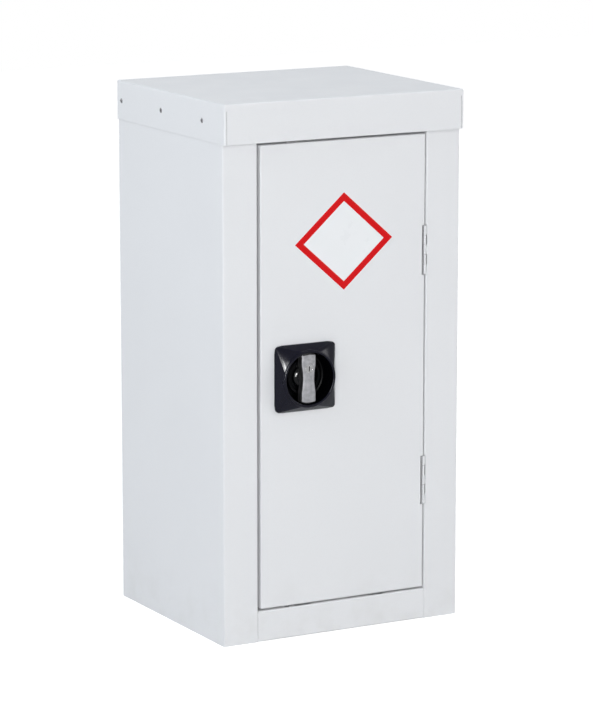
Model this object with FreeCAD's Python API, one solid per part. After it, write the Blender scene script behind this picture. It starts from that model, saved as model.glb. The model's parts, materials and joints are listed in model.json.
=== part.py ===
import FreeCAD
import Part
import math
import os

V = FreeCAD.Vector

# A small one-door cabinet for hazardous substances, folded from steel sheet.
# Millimetres, +Z up. The door faces -Y, and the door's hinges are on its +X side.
# The origin is at the middle of the base, below the centre of the whole outline.

# Overall size, from lid side to lid side, lid front to lid back, floor to lid top
cabinet_width = 355.0
cabinet_depth = 310.0
cabinet_height = 712.0

# Steel sheet, its folds, and the air left between pieces that move past each other
sheet = 1.2
bend = 2.4
running_gap = 0.3
overrun = 5.0

# Lid: a tray turned over, its front lip standing ahead of the door
lid_lip = 52.5
lid_overhang = 8.0
lid_seam = 0.4
lid_seam_inset = 3.6
lid_seam_top = 9.0

# Blind rivets that hold the lid to the sides
rivet_height = 27.0
rivet_inset_front = 53.4
rivet_inset_rear = 12.8
rivet_count = 3
rivet_head_radius = 3.4
rivet_head_height = 0.9
rivet_shank_radius = 2.4
rivet_bulb_radius = 3.3
rivet_bulb_length = 3.0
rivet_hole_radius = 1.7
rivet_hole_depth = 1.6
rivet_play = 0.1

# Front frame around the door
stile_width = 50.6
jamb_depth = 20.0
rail_height = 41.4
stop_height = 14.0
tab_length = 44.0
tab_lap = 14.0
rear_flange = 15.0

# Slots through folds: one in the top of the door, three in the top of the bottom rail
fold_slot_inset = 3.0
fold_slot_width = 9.0
door_slot_length = 45.0
rail_slot_short = 9.0
rail_slot_long = 22.0
rail_slot_apart = 22.0
rail_slot_right = 55.0

# Sump: the leak-proof tray in the bottom
sump_height = 50.0

# Spot weld dimples, low on the sides and on the stiles
weld_radius = 4.0
weld_depth = 0.35
weld_height = 28.0
weld_inset_front = 36.9
weld_inset_rear = 28.9
weld_count = 3
stile_weld_outer = 12.5
stile_weld_inner = 42.0
stile_weld_inner_height = 7.0

# Door: a folded pan that fills the opening, with a stiffener inside
door_gap_latch = 4.2
door_gap_hinge = 2.0
door_gap_top = 4.0
door_gap_bottom = 2.6
door_depth = 18.0
door_lip = 12.0
door_bend = 1.8
stiffener_offset = 40.0
stiffener_width = 48.0
stiffener_flange = 14.0
stiffener_depth = 13.0
stiffener_end_gap = 8.0
buffer_radius = 4.5
buffer_inset = 42.0

# Hinges: two five-knuckle lengths of strip hinge, in the gap between door and jamb
hinge_length = 65.0
hinge_inset_bottom = 114.3
hinge_inset_top = 121.8
knuckle_count = 5
knuckle_gap = 0.3
barrel_radius = 1.6
hinge_pin_radius = 0.75
hinge_pin_clearance = 0.05
leaf_thickness = 0.8
leaf_relief = 1.6
frame_leaf_width = 22.0
door_leaf_width = 15.0
notch_margin = 0.6
notch_behind = 1.2
door_notch_width = 4.2

# Shelf uprights: slotted channels on the side walls
upright_width = 24.0
upright_depth = 10.0
upright_inset_front = 55.0
upright_inset_rear = 34.0
upright_bottom = 54.0
upright_top_gap = 50.0
slot_first = 16.0
slot_pitch = 25.0
slot_width = 12.0
slot_height = 4.0

# Shelf: a shallow lipped tray on four clips
shelf_slot_count = 10
shelf_lip = 20.0
shelf_side_gap = 1.5
shelf_front_inset = 34.0
shelf_rear_gap = 5.0
clip_thickness = 1.5
clip_width = 10.0
clip_tab = 14.0
clip_leg = 12.0
clip_hook = 8.0
clip_play = 0.2

# Lock housing: a square black bezel with a round bowl for the fingers
lock_from_edge = 64.5
lock_below_middle = 1.6
lock_size = 89.0
lock_corner = 8.0
lock_edge = 2.5
lock_reach = 16.0
rim_radius = 36.0
rim_land = 1.4
rim_round = 0.5
bowl_depth = 24.5
bowl_floor = 2.5
spigot_radius = 34.0
spigot_wall = 1.5
spigot_clearance = 0.4
collar_height = 7.5
collar_wall = 3.6
collar_clearance = 0.4

# Clamp plate and screws that hold the housing from behind the door sheet
backplate_size = 84.0
backplate_thickness = 1.5
lock_screw_place = 35.0
lock_screw_radius = 2.0
lock_screw_length = 6.6
lock_screw_head_radius = 3.6
lock_screw_head_height = 2.2
lock_screw_play = 0.1
drive_slot_width = 1.0
drive_slot_depth = 1.0

# Handle: a waisted bar across the bowl, screwed to a round hub from behind
grip_length = 66.0
grip_width = 20.6
grip_corner = 1.5
grip_waist = 16.8
grip_waist_length = 36.0
grip_waist_blend = 14.0
grip_thickness = 12.0
grip_sink = 2.5
grip_bevel = 1.4
hub_radius = 20.0
journal_radius = 8.0
journal_clearance = 0.05
journal_tail = 2.5
grip_screw_offset = 13.0
grip_screw_radius = 2.0
grip_screw_head_radius = 3.8
grip_screw_head_height = 2.2
grip_screw_length = 12.0
grip_screw_play = 0.1
circlip_radius = 11.0
circlip_thickness = 1.0
circlip_groove = 1.0
circlip_mouth = 6.0

# Key cylinder in the handle's upper half, and its turning plug
cylinder_offset = 13.0
cylinder_radius = 6.0
plug_radius = 4.5
plug_clearance = 0.05
keyway_width = 1.3
keyway_height = 6.6
keyway_depth = 9.0
tongue_length = 9.5
tongue_width = 5.0
tongue_thickness = 2.0
tongue_play = 0.4

# Spindle and the latch cam on its end
spindle_width = 8.0
spindle_play = 0.1
socket_depth = 6.0
cam_gap = 1.0
cam_thickness = 3.0
cam_width = 18.0
cam_reach = 76.0
washer_radius = 7.0
washer_thickness = 1.0
cam_screw_radius = 2.5
cam_screw_length = 12.0
cam_screw_head_radius = 4.5
cam_screw_head_height = 3.2
cam_screw_play = 0.1
hex_socket_width = 4.0
hex_socket_depth = 2.0
hex_side_count = 6

# Blank label on the door
label_width = 147.5
label_height = 130.5
label_thickness = 0.3
label_offset = 0.3
label_from_top = 133.1

# Planes and edges that follow from the sizes above
front_reach = max(lock_reach, lid_overhang)
body_depth = cabinet_depth - lid_overhang - sheet
face_y = (front_reach - body_depth - sheet) / 2
rear_y = face_y + body_depth
half_body = cabinet_width / 2 - sheet
inner_x = half_body - sheet
opening_x = half_body - stile_width
opening_bottom = rail_height
opening_top = cabinet_height - lid_lip
body_top = cabinet_height - sheet
stop_y = face_y + jamb_depth
back_panel_y = rear_y - sheet - sheet
sump_front_y = stop_y + sheet

door_left = -opening_x + door_gap_latch
door_right = opening_x - door_gap_hinge
door_bottom = opening_bottom + door_gap_bottom
door_top = opening_top - door_gap_top
door_back_y = face_y + door_depth

leaf_back_y = face_y + sheet + leaf_thickness
barrel_x = door_right + leaf_thickness / 2
barrel_y = leaf_back_y - barrel_radius
barrel_room = barrel_radius + leaf_relief
door_middle = (door_bottom + door_top) / 2
hinge_middles = {
    "lower": door_bottom + hinge_inset_bottom + hinge_length / 2,
    "upper": door_top - hinge_inset_top - hinge_length / 2,
}

web_x = inner_x - upright_depth
shelf_z = upright_bottom + slot_first + shelf_slot_count * slot_pitch

lock_x = door_left + lock_from_edge
lock_z = door_middle - lock_below_middle
rim_y = face_y - lock_reach
floor_y = rim_y + bowl_depth
spigot_back_y = floor_y + bowl_floor
grip_front_y = rim_y + grip_sink
grip_back_y = grip_front_y + grip_thickness
hub_back_y = floor_y - running_gap
circlip_y = spigot_back_y + running_gap
journal_back_y = circlip_y + circlip_thickness + journal_tail
cylinder_z = lock_z + cylinder_offset
collar_y = floor_y - collar_height
pocket_y = collar_y + running_gap + sheet
pocket_depth = tongue_thickness + 2 * tongue_play
cam_y = stop_y + cam_gap
cam_back_y = cam_y + cam_thickness

AXIS_X = V(1, 0, 0)
AXIS_Y = V(0, 1, 0)
AXIS_Z = V(0, 0, 1)
ORIGIN = V(0, 0, 0)


def box(x0, x1, y0, y1, z0, z1):
    """Box between two corners."""
    return Part.makeBox(x1 - x0, y1 - y0, z1 - z0, V(x0, y0, z0))


def rod(radius, x, z, y0, y1):
    """Round bar along Y, centred at x and z."""
    return Part.makeCylinder(radius, y1 - y0, V(x, y0, z), AXIS_Y)


def post(radius, x, y, z0, z1):
    """Round bar along Z, centred at x and y."""
    return Part.makeCylinder(radius, z1 - z0, V(x, y, z0), AXIS_Z)


def fuse(shapes):
    """One clean solid out of several that touch."""
    return shapes[0].multiFuse(shapes[1:]).removeSplitter()


def mirrored(shape):
    """The same piece on the cabinet's other side."""
    return shape.mirror(ORIGIN, AXIS_X)


def unit(vector):
    """The vector's direction."""
    return vector * (1 / vector.Length)


def rounded_wire(points, radii):
    """Closed wire through the points, each corner rounded to its radius."""
    count = len(points)
    starts = []
    ends = []
    edges = []
    for i, corner in enumerate(points):
        before = unit(points[i - 1] - corner)
        after = unit(points[(i + 1) % count] - corner)
        half_angle = before.getAngle(after) / 2
        tangent = radii[i] / math.tan(half_angle)
        starts.append(corner + before * tangent)
        ends.append(corner + after * tangent)
        if radii[i] > 0:
            inward = unit(before + after)
            middle = corner + inward * (radii[i] / math.sin(half_angle) - radii[i])
            edges.append(Part.Arc(starts[i], middle, ends[i]).toShape())
    for i in range(count):
        edges.append(Part.makeLine(ends[i], starts[(i + 1) % count]))
    return Part.Wire(Part.sortEdges(edges)[0])


def folded_strip(path, normal, length):
    """Sheet folded along a path, which is its middle line, and drawn out along the normal."""
    last = len(path) - 1
    sides = {1: [], -1: []}
    radii = {1: [], -1: []}
    for i, point in enumerate(path):
        into = unit(point - path[i - 1]) if i > 0 else unit(path[1] - point)
        onward = unit(path[i + 1] - point) if i < last else into
        across = normal.cross(into) + normal.cross(onward)
        across = across * (sheet / (1 + normal.cross(into).dot(normal.cross(onward))) / 2)
        turn = into.cross(onward).dot(normal)
        for side in (1, -1):
            sides[side].append(point + across * side)
            if i in (0, last):
                radii[side].append(0)
            else:
                radii[side].append(bend - sheet if turn * side > 0 else bend)
    outline = sides[1] + sides[-1][::-1]
    wire = rounded_wire(outline, radii[1] + radii[-1][::-1])
    return Part.Face(wire).extrude(normal * length)


def tray(x0, x1, y0, y1, z0, z1):
    """Open tray of the sheet's thickness, its mouth up."""
    inside = box(x0 + sheet, x1 - sheet, y0 + sheet, y1 - sheet, z0 + sheet, z1 + overrun)
    return box(x0, x1, y0, y1, z0, z1).cut(inside)


def save(name, shape):
    """Write one piece, or a group of alike pieces, to its STEP file."""
    shape.exportStep("parts/" + name + ".step")


def side_panel():
    """Left side: wall, front stile, jamb and rear flange folded from one sheet."""
    half = sheet / 2
    path = [
        V(-half_body + rear_flange, rear_y - half, 0),
        V(-half_body + half, rear_y - half, 0),
        V(-half_body + half, face_y + half, 0),
        V(-opening_x - half, face_y + half, 0),
        V(-opening_x - half, stop_y, 0),
    ]
    panel = folded_strip(path, AXIS_Z, body_top)
    jamb = (-opening_x - sheet - bend, -opening_x + overrun, face_y + sheet, stop_y + overrun)
    panel = panel.cut(box(*jamb, -overrun, opening_bottom))
    panel = panel.cut(box(*jamb, opening_top, body_top + overrun))
    for y in rivet_places():
        hole = Part.makeCylinder(
            rivet_shank_radius + rivet_play,
            sheet + 2 * overrun,
            V(-half_body - overrun, y, cabinet_height - rivet_height),
            AXIS_X,
        )
        panel = panel.cut(hole)
    for centre in weld_centres():
        panel = panel.cut(Part.makeSphere(weld_ball(), centre))
    return panel


def spread(inset_front, inset_rear, count):
    """Even places along the side, from one inset at its front to another at its rear."""
    pitch = (body_depth - inset_front - inset_rear) / (count - 1)
    return [face_y + inset_front + i * pitch for i in range(count)]


def rivet_places():
    """Depths of the lid's rivets."""
    return spread(rivet_inset_front, rivet_inset_rear, rivet_count)


def weld_ball():
    """Radius of the ball whose cap is a weld dimple."""
    return (weld_radius ** 2 + weld_depth ** 2) / (2 * weld_depth)


def weld_centres():
    """Centres of the balls that press the dimples into the left side panel."""
    out = weld_ball() - weld_depth
    centres = [
        V(-half_body - out, y, weld_height)
        for y in spread(weld_inset_front, weld_inset_rear, weld_count)
    ]
    centres.append(V(-half_body + stile_weld_outer, face_y - out, weld_height))
    centres.append(V(-half_body + stile_weld_inner, face_y - out, stile_weld_inner_height))
    return centres


def hinge_notches(x0, x1, front_y):
    """Cut-outs along both hinges, between two X places and from front_y to behind the leaf."""
    half = hinge_length / 2 + notch_margin
    back_y = leaf_back_y + notch_behind
    return [
        box(x0, x1, front_y, back_y, middle - half, middle + half)
        for middle in hinge_middles.values()
    ]


def cabinet_sides():
    """Both side panels, the right one notched for the hinges."""
    left = side_panel()
    save("left_side_panel", left)
    right = mirrored(left)
    notches = hinge_notches(opening_x - overrun, barrel_x + barrel_room, face_y - overrun)
    notches += hinge_notches(opening_x - overrun, opening_x + bend + leaf_relief, face_y + sheet)
    for notch in notches:
        right = right.cut(notch)
    save("right_side_panel", right)


def back_and_sump():
    """Back panel inside the rear flanges, and the sump between all four walls."""
    half = inner_x - (bend - sheet)
    save("back_panel", box(-half, half, back_panel_y, rear_y - sheet, 0, body_top))
    sump = tray(-inner_x, inner_x, sump_front_y, back_panel_y, 0, sump_height)
    save("base_sump", sump)


def rail(path, tab_z0, tab_z1):
    """Folded rail between the stiles, with a tab behind each of them."""
    strip = folded_strip(path, AXIS_X, 2 * opening_x)
    strip.translate(V(-opening_x, 0, 0))
    tab = box(
        opening_x - tab_lap,
        opening_x + tab_length,
        face_y + sheet,
        face_y + 2 * sheet,
        tab_z0,
        tab_z1,
    )
    return fuse([strip, tab, mirrored(tab)])


def fold_slot(middle_x, length, z):
    """What a slot through a level fold takes away, just behind the front sheet."""
    near_y = face_y + fold_slot_inset
    far_y = near_y + fold_slot_width
    half = length / 2
    return box(middle_x - half, middle_x + half, near_y, far_y, z - overrun, z + overrun)


def front_rails():
    """Rails below and above the door, each with a flange that stops the door."""
    half = sheet / 2
    bottom_path = [
        V(0, sump_front_y, half),
        V(0, face_y + half, half),
        V(0, face_y + half, rail_height - half),
        V(0, stop_y + half, rail_height - half),
        V(0, stop_y + half, rail_height + stop_height),
    ]
    bottom_rail = rail(bottom_path, bend, rail_height - bend)
    slots = [
        fold_slot(lock_x - rail_slot_apart, rail_slot_short, rail_height),
        fold_slot(lock_x, rail_slot_long, rail_height),
        fold_slot(rail_slot_right, rail_slot_long, rail_height),
    ]
    save("bottom_rail", bottom_rail.cut(Part.makeCompound(slots)))
    top_path = [
        V(0, sump_front_y, body_top - half),
        V(0, face_y + half, body_top - half),
        V(0, face_y + half, opening_top + half),
        V(0, stop_y + half, opening_top + half),
        V(0, stop_y + half, opening_top - stop_height),
    ]
    save("top_rail", rail(top_path, opening_top + bend, body_top - bend))


def lid():
    """Lid with four lips, a return under the front one, and a seam near each front corner."""
    half = cabinet_width / 2
    front = face_y - lid_overhang
    rear = rear_y + sheet
    shell = box(-half, half, front, rear, opening_top, cabinet_height)
    bends = [e for e in shell.Edges if e.BoundBox.ZMax > body_top]
    shell = shell.makeFillet(bend, bends)
    inside = box(
        -half_body, half_body, front + sheet, rear_y, opening_top - overrun, body_top
    )
    shell = shell.cut(inside)
    under = box(
        -half_body, half_body, front + sheet, face_y, opening_top, opening_top + sheet
    )
    shell = fuse([shell, under])
    seam_x = -half + lid_seam_inset
    seam_top = cabinet_height - lid_seam_top
    seam = box(
        seam_x, seam_x + lid_seam, front - overrun, front + sheet, opening_top - overrun, seam_top
    )
    shell = shell.cut(seam).cut(mirrored(seam))
    for y in rivet_places():
        hole = Part.makeCylinder(
            rivet_shank_radius + rivet_play,
            cabinet_width + 2 * overrun,
            V(-half - overrun, y, cabinet_height - rivet_height),
            AXIS_X,
        )
        shell = shell.cut(hole)
    save("lid", shell)


def rivet(y):
    """Blind rivet through the lid's left lip and the side wall, its head outside."""
    z = cabinet_height - rivet_height
    outside = -cabinet_width / 2
    ball = (rivet_head_radius ** 2 + rivet_head_height ** 2) / (2 * rivet_head_height)
    head = Part.makeSphere(ball, V(outside - rivet_head_height + ball, y, z))
    head = head.common(
        Part.makeCylinder(
            rivet_head_radius, rivet_head_height, V(outside - rivet_head_height, y, z), AXIS_X
        )
    )
    shank_length = 2 * sheet
    shank = Part.makeCylinder(rivet_shank_radius, shank_length, V(outside, y, z), AXIS_X)
    bulb = Part.makeCylinder(
        rivet_bulb_radius, rivet_bulb_length, V(outside + shank_length, y, z), AXIS_X
    )
    hole = Part.makeCylinder(
        rivet_hole_radius,
        rivet_hole_depth + overrun,
        V(outside - rivet_head_height - overrun, y, z),
        AXIS_X,
    )
    return fuse([head, shank, bulb]).cut(hole)


def lid_rivets():
    """The rivets of each side, as one group a side."""
    group = Part.makeCompound([rivet(y) for y in rivet_places()])
    save("lid_rivets_left", group)
    save("lid_rivets_right", mirrored(group))


def slot_heights():
    """Heights of the uprights' slots."""
    top = body_top - upright_top_gap
    heights = []
    z = upright_bottom + slot_first
    while z < top - slot_first:
        heights.append(z)
        z += slot_pitch
    return heights


def upright_middles():
    """Depths of the front and rear uprights' middle lines."""
    return {
        "front": face_y + upright_inset_front,
        "rear": back_panel_y - upright_inset_rear,
    }


def shelf_upright(middle_y):
    """Slotted channel on the right wall, its flanges against the wall."""
    half = sheet / 2
    y0 = middle_y - upright_width / 2
    y1 = middle_y + upright_width / 2
    path = [
        V(inner_x, y0 + half, upright_bottom),
        V(web_x + half, y0 + half, upright_bottom),
        V(web_x + half, y1 - half, upright_bottom),
        V(inner_x, y1 - half, upright_bottom),
    ]
    channel = folded_strip(path, AXIS_Z, body_top - upright_top_gap - upright_bottom)
    slots = [
        box(
            web_x - overrun,
            web_x + sheet + overrun / 2,
            middle_y - slot_width / 2,
            middle_y + slot_width / 2,
            z - slot_height / 2,
            z + slot_height / 2,
        )
        for z in slot_heights()
    ]
    return channel.cut(Part.makeCompound(slots))


def shelf_clip(middle_y):
    """Clip hooked through a right upright's slot, with a tab under the shelf."""
    y0 = middle_y - clip_width / 2
    y1 = middle_y + clip_width / 2
    hook_x = web_x + sheet + clip_play
    low = shelf_z - clip_thickness
    tab = box(web_x - clip_tab, hook_x + clip_thickness, y0, y1, low, shelf_z)
    leg = box(web_x - clip_thickness, web_x, y0, y1, shelf_z - clip_leg, shelf_z)
    hook = box(hook_x, hook_x + clip_thickness, y0, y1, shelf_z - clip_hook, shelf_z)
    return fuse([tab, leg, hook])


def shelf_and_supports():
    """Four uprights, four clips and the shelf that rests on them."""
    for place, middle_y in upright_middles().items():
        upright = shelf_upright(middle_y)
        clip = shelf_clip(middle_y)
        save("shelf_upright_" + place + "_right", upright)
        save("shelf_upright_" + place + "_left", mirrored(upright))
        save("shelf_clip_" + place + "_right", clip)
        save("shelf_clip_" + place + "_left", mirrored(clip))
    half = web_x - shelf_side_gap
    front = face_y + shelf_front_inset
    rear = back_panel_y - shelf_rear_gap
    save("shelf", tray(-half, half, front, rear, shelf_z, shelf_z + shelf_lip))


def door_panel():
    """Door pan: front sheet, four returns and narrow rear lips, pierced for the lock."""
    shell = box(door_left, door_right, face_y, door_back_y, door_bottom, door_top)
    outer_edges = [e for e in shell.Edges if e.BoundBox.YMin < door_back_y - sheet]
    shell = shell.makeFillet(door_bend, outer_edges)
    inside = box(
        door_left + sheet,
        door_right - sheet,
        face_y + sheet,
        door_back_y - sheet,
        door_bottom + sheet,
        door_top - sheet,
    )
    window = box(
        door_left + door_lip,
        door_right - door_lip,
        face_y + sheet,
        door_back_y + overrun,
        door_bottom + door_lip,
        door_top - door_lip,
    )
    shell = shell.cut(inside).cut(window)
    notch_left = door_right - door_notch_width
    for notch in hinge_notches(notch_left, door_right + overrun, face_y - overrun):
        shell = shell.cut(notch)
    shell = shell.cut(fold_slot(lock_x, door_slot_length, door_top))
    hole_radius = spigot_radius + spigot_clearance
    shell = shell.cut(rod(hole_radius, lock_x, lock_z, face_y - overrun, face_y + 2 * sheet))
    radius = lock_screw_radius + lock_screw_play
    for x, z in lock_screw_centres():
        shell = shell.cut(rod(radius, x, z, face_y - overrun, face_y + 2 * sheet))
    save("door_panel", shell)


def door_stiffener():
    """Top-hat channel welded upright inside the door."""
    half = sheet / 2
    near_y = face_y + sheet + half
    far_y = near_y + stiffener_depth - sheet
    middle = stiffener_offset
    foot = stiffener_width / 2
    crown = foot - stiffener_flange
    path = [
        V(middle - foot, near_y, 0),
        V(middle - crown, near_y, 0),
        V(middle - crown, far_y, 0),
        V(middle + crown, far_y, 0),
        V(middle + crown, near_y, 0),
        V(middle + foot, near_y, 0),
    ]
    low = door_bottom + door_lip + stiffener_end_gap
    high = door_top - door_lip - stiffener_end_gap
    hat = folded_strip(path, AXIS_Z, high - low)
    hat.translate(V(0, 0, low))
    save("door_stiffener", hat)


def door_buffers():
    """Four rubber buffers on the stop flanges, just behind the closed door."""
    near_y = door_back_y + running_gap
    discs = []
    for x in (door_left + buffer_inset, door_right - buffer_inset):
        for z in (door_bottom + door_lip / 2, door_top - door_lip / 2):
            discs.append(rod(buffer_radius, x, z, near_y, stop_y))
    save("door_buffers", Part.makeCompound(discs))


def hinge_leaf(plate, strap, low, knuckles):
    """Leaf and its knuckles: plate and strap are the X and Y spans of the leaf's two parts."""
    knuckle = hinge_length / knuckle_count
    high = low + hinge_length
    pieces = [box(*plate, low, high)]
    for i in knuckles:
        z0 = low + i * knuckle + knuckle_gap / 2
        z1 = low + (i + 1) * knuckle - knuckle_gap / 2
        pieces.append(post(barrel_radius, barrel_x, barrel_y, z0, z1))
        pieces.append(box(*strap, z0, z1))
    bore = hinge_pin_radius + hinge_pin_clearance
    hole = post(bore, barrel_x, barrel_y, low - overrun, high + overrun)
    return fuse(pieces).cut(hole)


def hinges():
    """Frame leaves, door leaves and pins of both hinges."""
    frame_y = (leaf_back_y - leaf_thickness, leaf_back_y)
    frame_plate = (barrel_x + barrel_room, barrel_x + frame_leaf_width, *frame_y)
    frame_strap = (barrel_x, barrel_x + barrel_room, *frame_y)
    door_x = (door_right, door_right + leaf_thickness)
    door_plate = (*door_x, barrel_y + barrel_room, barrel_y + door_leaf_width)
    door_strap = (*door_x, barrel_y, barrel_y + barrel_room)
    for place, middle in hinge_middles.items():
        low = middle - hinge_length / 2
        frame_leaf = hinge_leaf(frame_plate, frame_strap, low, range(0, knuckle_count, 2))
        door_leaf = hinge_leaf(door_plate, door_strap, low, range(1, knuckle_count, 2))
        pin = post(hinge_pin_radius, barrel_x, barrel_y, low, low + hinge_length)
        save("hinge_frame_leaf_" + place, frame_leaf)
        save("hinge_door_leaf_" + place, door_leaf)
        save("hinge_pin_" + place, pin)


def lock_screw_centres():
    """Places of the housing's four screws."""
    return [
        (lock_x + i * lock_screw_place, lock_z + k * lock_screw_place)
        for i in (-1, 1)
        for k in (-1, 1)
    ]


def rounded_square(half, corner, y):
    """Square wire with round corners, facing the front at depth y."""
    points = [
        V(lock_x + i * half, y, lock_z + k * half)
        for i, k in ((-1, -1), (1, -1), (1, 1), (-1, 1))
    ]
    return rounded_wire(points, [corner] * len(points))


def tongue_sweep(x, z):
    """Space that the plug's tongue turns in, about the plug's axis at x and z."""
    reach = tongue_length + tongue_play
    return rod(reach, x, z, pocket_y, pocket_y + pocket_depth)


def quarter_arc(radius, quarter, centre):
    """Arc of one quarter of a circle that faces the front."""
    points = []
    for step in (0, 1, 2):
        angle = math.pi / 2 * (quarter + step / 2)
        points.append(centre + V(math.cos(angle), 0, math.sin(angle)) * radius)
    return Part.Arc(*points).toShape()


def square_to_round(half, corner, edge_y):
    """Solid from a square with round corners to the rim's circle: four flats, four corners."""
    quarters = range(4)
    side = half - corner
    square = []
    circle = []
    for quarter in quarters:
        diagonal = math.pi / 2 * (quarter + 1 / 2)
        i = math.copysign(1, math.cos(diagonal))
        k = math.copysign(1, math.sin(diagonal))
        centre = V(lock_x + i * side, edge_y, lock_z + k * side)
        square.append(quarter_arc(corner, quarter, centre))
        circle.append(quarter_arc(rim_radius, quarter, V(lock_x, rim_y, lock_z)))
    faces = []
    outline = []
    for quarter in quarters:
        start = square[quarter].Vertexes[-1].Point
        end = square[(quarter + 1) % len(quarters)].Vertexes[0].Point
        apex = circle[quarter].Vertexes[-1].Point
        faces.append(Part.makeRuledSurface(square[quarter], circle[quarter]))
        faces.append(Part.Face(Part.makePolygon([start, end, apex, start])))
        outline.extend([square[quarter], Part.makeLine(start, end)])
    faces.append(Part.Face(Part.Wire(outline)))
    faces.append(Part.Face(Part.Wire(circle)))
    shell = Part.makeShell(faces)
    shell.sewShape()
    return Part.makeSolid(shell)


def lock_housing():
    """Square bezel that rises to a round rim, with the bowl and its collar behind it."""
    half = lock_size / 2
    edge_y = face_y - lock_edge
    base = Part.Face(rounded_square(half, lock_corner, edge_y)).extrude(V(0, lock_edge, 0))
    facets = square_to_round(half, lock_corner, edge_y)
    spigot = rod(spigot_radius, lock_x, lock_z, face_y, spigot_back_y)
    housing = fuse([base, facets, spigot])
    bowl = Part.makeCone(
        rim_radius - rim_land,
        spigot_radius - spigot_wall,
        bowl_depth,
        V(lock_x, rim_y, lock_z),
        AXIS_Y,
    )
    housing = housing.cut(bowl)
    rim_edges = [e for e in housing.Edges if abs(e.BoundBox.YMax - rim_y) < rim_round / 2]
    housing = housing.makeFillet(rim_round, rim_edges)
    collar_bore = hub_radius + collar_clearance
    collar = rod(collar_bore + collar_wall, lock_x, lock_z, collar_y, floor_y)
    collar = collar.cut(rod(collar_bore, lock_x, lock_z, collar_y, floor_y))
    collar = collar.cut(tongue_sweep(lock_x, cylinder_z))
    collar = collar.cut(tongue_sweep(lock_x + cylinder_offset, lock_z))
    housing = fuse([housing, collar])
    bore = journal_radius + journal_clearance
    housing = housing.cut(rod(bore, lock_x, lock_z, floor_y - overrun, spigot_back_y + overrun))
    radius = lock_screw_radius + lock_screw_play
    depth = lock_screw_length - sheet - backplate_thickness + lock_screw_play
    for x, z in lock_screw_centres():
        housing = housing.cut(rod(radius, x, z, face_y - depth, face_y))
    save("lock_housing", housing)


def lock_backplate():
    """Square clamp plate behind the door sheet, and the four screws through it."""
    half = backplate_size / 2
    near_y = face_y + sheet
    far_y = near_y + backplate_thickness
    plate = box(lock_x - half, lock_x + half, near_y, far_y, lock_z - half, lock_z + half)
    hole_radius = spigot_radius + spigot_clearance
    plate = plate.cut(rod(hole_radius, lock_x, lock_z, near_y, far_y))
    screws = []
    for x, z in lock_screw_centres():
        plate = plate.cut(rod(lock_screw_radius + lock_screw_play, x, z, near_y, far_y))
        head = rod(lock_screw_head_radius, x, z, far_y, far_y + lock_screw_head_height)
        slot = box(
            x - lock_screw_head_radius,
            x + lock_screw_head_radius,
            far_y + lock_screw_head_height - drive_slot_depth,
            far_y + lock_screw_head_height,
            z - drive_slot_width / 2,
            z + drive_slot_width / 2,
        )
        shank = rod(lock_screw_radius, x, z, far_y - lock_screw_length, far_y)
        screws.append(fuse([head.cut(slot), shank]))
    save("lock_backplate", plate)
    save("lock_screws", Part.makeCompound(screws))


def grip_bar():
    """Bar with round ends and a waist, bevelled along its front edges."""
    half = grip_length / 2
    side = grip_width / 2
    rise = math.sqrt(half ** 2 - side ** 2)
    waist = grip_waist / 2
    bow = grip_waist_length / 2
    path = []
    for k in (1, -1):
        end = [(side * k, rise * k), (0, half * k), (-side * k, rise * k)]
        hollow = [(-side * k, bow * k), (-waist * k, 0), (-side * k, -bow * k)]
        path.append(Part.Arc(*[grip_point(*p) for p in end]).toShape())
        path.append(Part.makeLine(grip_point(*end[-1]), grip_point(*hollow[0])))
        path.append(Part.Arc(*[grip_point(*p) for p in hollow]).toShape())
        path.append(Part.makeLine(grip_point(*hollow[-1]), grip_point(-side * k, -rise * k)))
    bar = Part.Face(Part.Wire(path)).extrude(V(0, grip_thickness, 0))
    for height, radius in ((rise, grip_corner), (bow, grip_waist_blend)):
        bar = bar.makeFillet(radius, upright_edges(bar, height))
    front_edges = [e for e in bar.Edges if e.BoundBox.YMax < grip_front_y + grip_bevel]
    return bar.makeChamfer(grip_bevel, front_edges)


def grip_point(x, z):
    """Place on the bar's front plane, from the bar's middle."""
    return V(lock_x + x, grip_front_y, lock_z + z)


def upright_edges(bar, height):
    """The bar's edges along Y that lie so high above or below its middle, at its full width."""
    found = []
    for edge in bar.Edges:
        middle = edge.CenterOfMass
        at_side = abs(abs(middle.x - lock_x) - grip_width / 2) < running_gap
        at_height = abs(abs(middle.z - lock_z) - height) < running_gap
        if at_side and at_height and edge.BoundBox.YLength > grip_thickness / 2:
            found.append(edge)
    return found


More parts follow.
